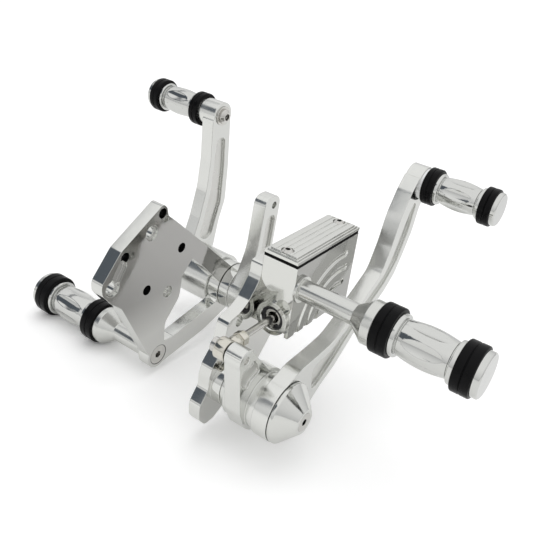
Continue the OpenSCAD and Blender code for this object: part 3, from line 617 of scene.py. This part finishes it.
# Circlip and washer in the bore: the circlip is spring steel, blacked and oiled, and keeps the
# piston in. The washer under it is bright steel.
circlip_break = 0.0001
circlip_grain = 0.000008
black_tones = ((0.03, 0.03, 0.032, 1.0), (0.09, 0.09, 0.095, 1.0))
black_steel, tree, surface = bare_metal("black_steel")
haze = noise(tree, scale=200.0, detail=4.0)
hazed(tree, surface, haze, *black_tones, low=0.3, high=0.5)
relief(tree, surface, noise(tree, scale=1200.0, detail=2.0), circlip_grain)
for name, metal in (("circlip", black_steel), ("bore_washer", screw_steel)):
    break_edges(name, circlip_break)
    finish_with(name, metal)

# Rod end and lock nut: brass under dull nickel, which lets the yellow through. The nut locks the
# rod end on the push rod's thread. The rod end is an eye round a ball, on a hexagonal shank, and
# both stand in for the plain solid.
nut_break = 0.0004
nickel_grain = 0.000008
nickel_tones = ((0.60, 0.57, 0.49, 1.0), (0.76, 0.745, 0.69, 1.0))
nickel_brass, tree, surface = bare_metal("nickel_brass")
haze = noise(tree, scale=140.0, detail=5.0)
hazed(tree, surface, haze, *nickel_tones, low=0.09, high=0.18)
relief(tree, surface, noise(tree, scale=900.0, detail=2.0), nickel_grain)
break_edges("lock_nut", nut_break)
finish_with("lock_nut", nickel_brass)

eye_at = Vector((0.10075, -0.0305, -0.027))
eye_r = 0.0086
eye_w = 0.010
eye_rim = 0.0011
eye_bore_rim = 0.0008
eye_insets = (
    (0.0019, 0.0),
    (0.0003, -0.0016),
    (0.0006, 0.0),
    (0.0003, 0.0012),
    (0.0012, 0.0003),
    (eye_bore_rim, 0.0),
)
shank_at = (eye_at.x, -0.0192, eye_at.z)
shank_r = 0.00577
shank_length = 0.0096
shank_break = 0.0004


def select(kind, test):
    """In edit mode, selects the faces or edges whose middle passes a test, and nothing else."""
    mesh = bmesh.from_edit_mesh(bpy.context.object.data)
    for part in list(mesh.faces) + list(mesh.edges) + list(mesh.verts):
        part.select = False
    bpy.context.tool_settings.mesh_select_mode = (False, kind == "edge", kind == "face")
    for part in mesh.faces if kind == "face" else mesh.edges:
        points = [vertex.co for vertex in part.verts]
        if test(sum(points, Vector()) / len(points), part):
            part.select_set(True)
    bmesh.update_edit_mesh(bpy.context.object.data)


def settle(name, body, material):
    """Ends the modelling of a piece: names it, sets it at the origin and fits its material."""
    bpy.ops.object.mode_set(mode="OBJECT")
    bpy.ops.object.transform_apply(location=True, rotation=True, scale=True)
    bpy.ops.object.shade_smooth_by_angle(angle=math.radians(35.0))
    piece = bpy.context.object
    piece.name = name
    piece.data.materials.clear()
    piece.data.materials.append(material)
    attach(piece, body)
    return piece


def round_end(at, face):
    """True for the eye's two round ends."""
    return abs(face.normal.x) > 0.9 and len(face.verts) > 8


def outer_rim(at, edge):
    """True for the edges round the eye's two ends."""
    return abs(abs(at.x - eye_at.x) - eye_w / 2) < 1e-5 and (at - eye_at).length > eye_r * 0.98


bpy.ops.object.select_all(action="DESELECT")
bpy.ops.mesh.primitive_cylinder_add(vertices=72, radius=eye_r, depth=eye_w, location=eye_at,
                                    rotation=(0.0, math.pi / 2, 0.0))
bpy.ops.object.transform_apply(location=True, rotation=True, scale=True)
bpy.ops.object.mode_set(mode="EDIT")
for thickness, depth in eye_insets:
    select("face", round_end)
    bpy.ops.mesh.inset(thickness=thickness, depth=depth)
select("face", round_end)
bpy.ops.mesh.bridge_edge_loops()
select("edge", outer_rim)
bpy.ops.mesh.bevel(offset=eye_rim, segments=4)
eye = settle("rod_eye", "push_rod", nickel_brass)
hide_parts("rod_end")

bpy.ops.object.select_all(action="DESELECT")
bpy.ops.mesh.primitive_cylinder_add(vertices=6, radius=shank_r, depth=shank_length,
                                    location=shank_at, rotation=(math.pi / 2, 0.0, 0.0))
bpy.ops.object.transform_apply(location=True, rotation=True, scale=True)
bpy.ops.object.mode_set(mode="EDIT")
select("edge", lambda at, edge: True)
bpy.ops.mesh.bevel(offset=shank_break, segments=2)
shank = settle("rod_end_shank", "push_rod", nickel_brass)
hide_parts("rod_end")

# Piston spring: one coil of steel wire between the cup and the bore's blind end. It rests on that
# end, and is built at one fixed length.
wire_r = 0.0009
wire_sides = 12
coil_r = 0.0060
coil_turns = 6
steps_a_turn = 32
coil_low, coil_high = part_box("piston_spring")
coil_length = coil_high[1] - coil_low[1]
coil_x = (coil_low[0] + coil_high[0]) / 2
coil_z = (coil_low[2] + coil_high[2]) / 2
bpy.ops.object.select_all(action="DESELECT")
bpy.ops.mesh.primitive_circle_add(vertices=wire_sides, radius=wire_r,
                                  location=(coil_x, coil_low[1] + wire_r, coil_z))
bpy.ops.object.mode_set(mode="EDIT")
bpy.ops.transform.translate(value=(coil_r, 0.0, 0.0))
bpy.ops.object.mode_set(mode="OBJECT")
winding = bpy.context.object.modifiers.new("winding", "SCREW")
winding.axis = "Y"
winding.steps = steps_a_turn
winding.render_steps = steps_a_turn
winding.iterations = coil_turns
winding.screw_offset = (coil_length - 2 * wire_r) / coil_turns
bpy.ops.object.modifier_apply(modifier="winding")
bpy.ops.object.mode_set(mode="EDIT")
bpy.ops.mesh.select_all(action="SELECT")
bpy.ops.mesh.fill_holes(sides=0)
bpy.ops.mesh.select_all(action="SELECT")
bpy.ops.mesh.normals_make_consistent(inside=False)
coil = settle("coil_spring", "brackets", screw_steel)
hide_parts("piston_spring")
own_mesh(coil)

# Bushes: turned bronze sleeves, hidden inside. One is pressed into the shift plate's boss, and the
# shift's shaft turns in it. The others sit in the brake lever's hub and turn on the brake's shaft.
bush_pitch = 0.0003
bush_depth = 0.000004
bronze_tones = ((0.45, 0.30, 0.15, 1.0), (0.62, 0.45, 0.25, 1.0))
bush_bronze, tree, surface = bare_metal("bush_bronze")
haze = noise(tree, scale=120.0, detail=4.0)
hazed(tree, surface, haze, *bronze_tones, low=0.25, high=0.4)
relief(tree, surface, lines(tree, bush_pitch), bush_depth)
for name in ("shift_bush", "brake_bushes"):
    finish_with(name, bush_bronze)

low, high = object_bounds()
